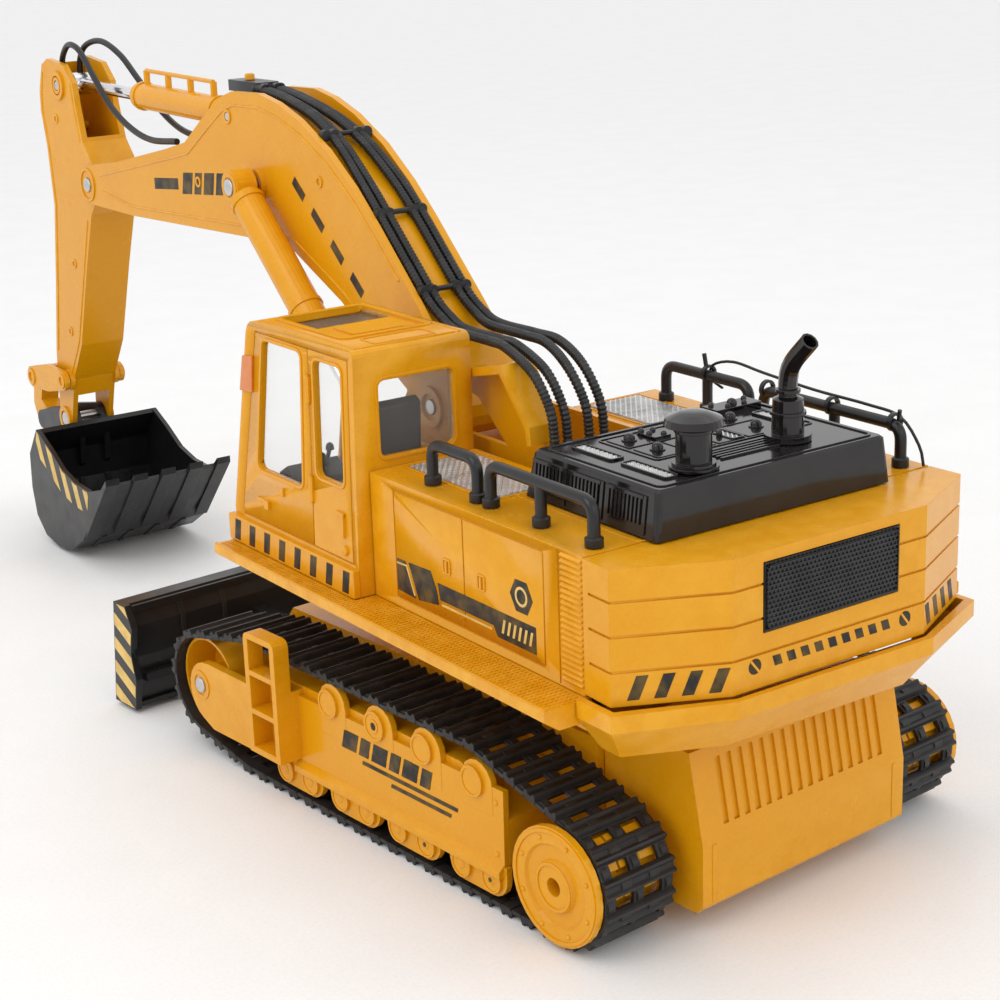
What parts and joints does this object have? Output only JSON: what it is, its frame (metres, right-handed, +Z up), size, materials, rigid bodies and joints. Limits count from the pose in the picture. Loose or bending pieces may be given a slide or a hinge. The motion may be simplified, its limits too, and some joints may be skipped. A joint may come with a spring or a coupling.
{
  "type": "toy excavator",
  "caption": "Toy excavator on rubber tracks with a slewing house, cab, boom, stick, bucket and dozer blade.",
  "frame": {"origin": "centre of the footprint on the ground, below the middle of the bounding box", "axes": "+Y from the bucket to the rear of the machine, +X towards the cab side (left), +Z up"},
  "size_m": [0.2108, 0.6782, 0.2796],
  "materials": {
    "yellow": "warm yellow moulded plastic, satin gloss",
    "black": "black moulded plastic",
    "gloss_black": "glossy black plastic",
    "rubber": "soft black rubber",
    "steel": "bare steel",
    "chrome": "bright plated",
    "mesh": "silver expanded-metal pattern",
    "clear": "clear plastic",
    "green": "green circuit board",
    "blue": "blue shrink wrap"
  },
  "bodies": {
    "chassis": {"hull": "yellow", "rear_housing": "yellow", "track_frame_left": "yellow", "track_frame_right": "yellow", "track_belt_left": "rubber", "track_belt_right": "rubber", "slew_ring": "black", "drive_unit_left": "black", "drive_unit_right": "black", "battery_pack": "blue", "battery_door": "yellow"},
    "power_switch": {"switch_slider": "black"},
    "sprocket_left": {"drive_sprocket_left": "yellow"},
    "sprocket_right": {"drive_sprocket_right": "yellow"},
    "idler_left": {"idler_wheel_left": "yellow"},
    "idler_right": {"idler_wheel_right": "yellow"},
    "blade": {"dozer_blade": "black"},
    "house": {"house_base": "yellow", "house_shell": "yellow", "counterweight": "yellow", "rear_tray": "yellow", "boom_mount": "yellow", "cab_shell": "yellow", "cab_glazing": "clear", "cab_seat": "black", "engine_hood": "gloss_black", "air_cleaner": "gloss_black", "exhaust_pipe": "gloss_black", "handrail_left_front": "black", "handrail_left_rear": "black", "handrail_right_front": "black", "handrail_right_rear": "black", "rear_grille": "black", "deck_pad_left": "mesh", "deck_pad_right": "mesh", "slew_motor": "steel", "circuit_board": "green", "speaker": "black", "boom_pin": "steel", "ram_foot_pin": "steel", "aerial_wire": "black"},
    "slew_pinion": {"slew_pinion": "steel"},
    "boom": {"boom_shell": "yellow", "boom_hoses": "rubber", "stick_pin": "steel", "ram_head_pin": "steel", "stick_hose_left": "rubber", "stick_hose_right": "rubber"},
    "boom_barrels": {"boom_barrel_left": "yellow", "boom_barrel_right": "yellow"},
    "boom_rods": {"boom_rod_left": "chrome", "boom_rod_right": "chrome"},
    "stick": {"stick_arm": "yellow", "bucket_pin": "steel"},
    "stick_rod": {"stick_rod": "chrome"},
    "stick_barrel": {"stick_barrel": "yellow"},
    "bucket": {"bucket": "black"},
    "rocker": {"rocker": "yellow"},
    "bucket_link": {"bucket_link": "yellow"}
  },
  "joints": [
    {"name": "sprocket_left_spin", "type": "hinge", "parent": "chassis", "child": "sprocket_left", "pos_m": [-0.002, 0.2801, 0.0243], "axis": [1, 0, 0], "continuous": true},
    {"name": "idler_left_spin", "type": "hinge", "parent": "chassis", "child": "idler_left", "pos_m": [-0.002, 0.0511, 0.0305], "axis": [1, 0, 0], "continuous": true},
    {"name": "sprocket_right_spin", "type": "hinge", "parent": "chassis", "child": "sprocket_right", "pos_m": [-0.002, 0.2801, 0.0243], "axis": [1, 0, 0], "continuous": true},
    {"name": "idler_right_spin", "type": "hinge", "parent": "chassis", "child": "idler_right", "pos_m": [-0.002, 0.0511, 0.0305], "axis": [1, 0, 0], "continuous": true},
    {"name": "switch_slide", "type": "slide", "parent": "chassis", "child": "power_switch", "axis": [0, 1, 0], "range_m": [0, 0.004]},
    {"name": "blade_lift", "type": "hinge", "parent": "chassis", "child": "blade", "pos_m": [-0.002, 0.0496, 0.027], "axis": [-1, 0, 0], "range_deg": [-1, 20]},
    {"name": "house_slew", "type": "hinge", "parent": "chassis", "child": "house", "pos_m": [-0.002, 0.1626, 0.08], "axis": [0, 0, 1], "range_deg": [-175, 175]},
    {"name": "pinion_spin", "type": "hinge", "parent": "house", "child": "slew_pinion", "pos_m": [0.00032, 0.1905, 0.068], "axis": [0, 0, 1], "range_deg": [-900, 900]},
    {"name": "boom_lift", "type": "hinge", "parent": "house", "child": "boom", "pos_m": [-0.0049, 0.12772, 0.1515], "axis": [-0.9966, 0.083, 0], "range_deg": [-12, 18], "deforming": ["boom_hoses"]},
    {"name": "boom_barrel_swing", "type": "hinge", "parent": "boom", "child": "boom_barrels", "pos_m": [-0.01694, -0.01678, 0.226], "axis": [-0.9966, 0.083, 0], "range_deg": [-3, 3]},
    {"name": "boom_rod_slide", "type": "slide", "parent": "boom_barrels", "child": "boom_rods", "axis": [0.062, 0.7448, -0.6644], "range_m": [-0.012, 0.016]},
    {"name": "stick_swing", "type": "hinge", "parent": "boom", "child": "stick", "pos_m": [-0.03262, -0.20513, 0.207], "axis": [-0.9966, 0.083, 0], "range_deg": [-20, 20], "deforming": ["stick_hose_left", "stick_hose_right"]},
    {"name": "stick_rod_swing", "type": "hinge", "parent": "stick", "child": "stick_rod", "pos_m": [-0.03553, -0.24001, 0.256], "axis": [-0.9966, 0.083, 0], "range_deg": [-18, 18]},
    {"name": "stick_barrel_slide", "type": "slide", "parent": "stick_rod", "child": "stick_barrel", "axis": [0.083, 0.9963, -0.0208], "range_m": [-0.02, 0.02]},
    {"name": "bucket_curl", "type": "hinge", "parent": "stick", "child": "bucket", "pos_m": [-0.03835, -0.27389, 0.066], "axis": [-0.9966, 0.083, 0], "range_deg": [-10, 40]},
    {"name": "rocker_swing", "type": "hinge", "parent": "stick", "child": "rocker", "pos_m": [-0.03735, -0.26193, 0.091], "axis": [-0.9966, 0.083, 0], "range_deg": [-12, 44]},
    {"name": "link_swing", "type": "hinge", "parent": "rocker", "child": "bucket_link", "pos_m": [-0.041, -0.30578, 0.086], "axis": [-0.9966, 0.083, 0], "range_deg": [-38, 12]}
  ],
  "couplings": [
    {"joint": "idler_left_spin", "follows": "sprocket_left_spin", "ratio": 1},
    {"joint": "idler_right_spin", "follows": "sprocket_right_spin", "ratio": 1},
    {"joint": "pinion_spin", "follows": "house_slew", "ratio": -5},
    {"joint": "boom_barrel_swing", "follows": "boom_lift", "ratio": 0.0697},
    {"joint": "boom_rod_slide", "follows": "boom_lift", "m_per_rad": 0.04126},
    {"joint": "stick_rod_swing", "follows": "stick_swing", "ratio": -0.8152},
    {"joint": "stick_barrel_slide", "follows": "stick_swing", "m_per_rad": -0.0479},
    {"joint": "rocker_swing", "follows": "bucket_curl", "ratio": 1.019},
    {"joint": "link_swing", "follows": "bucket_curl", "ratio": -0.861}
  ]
}
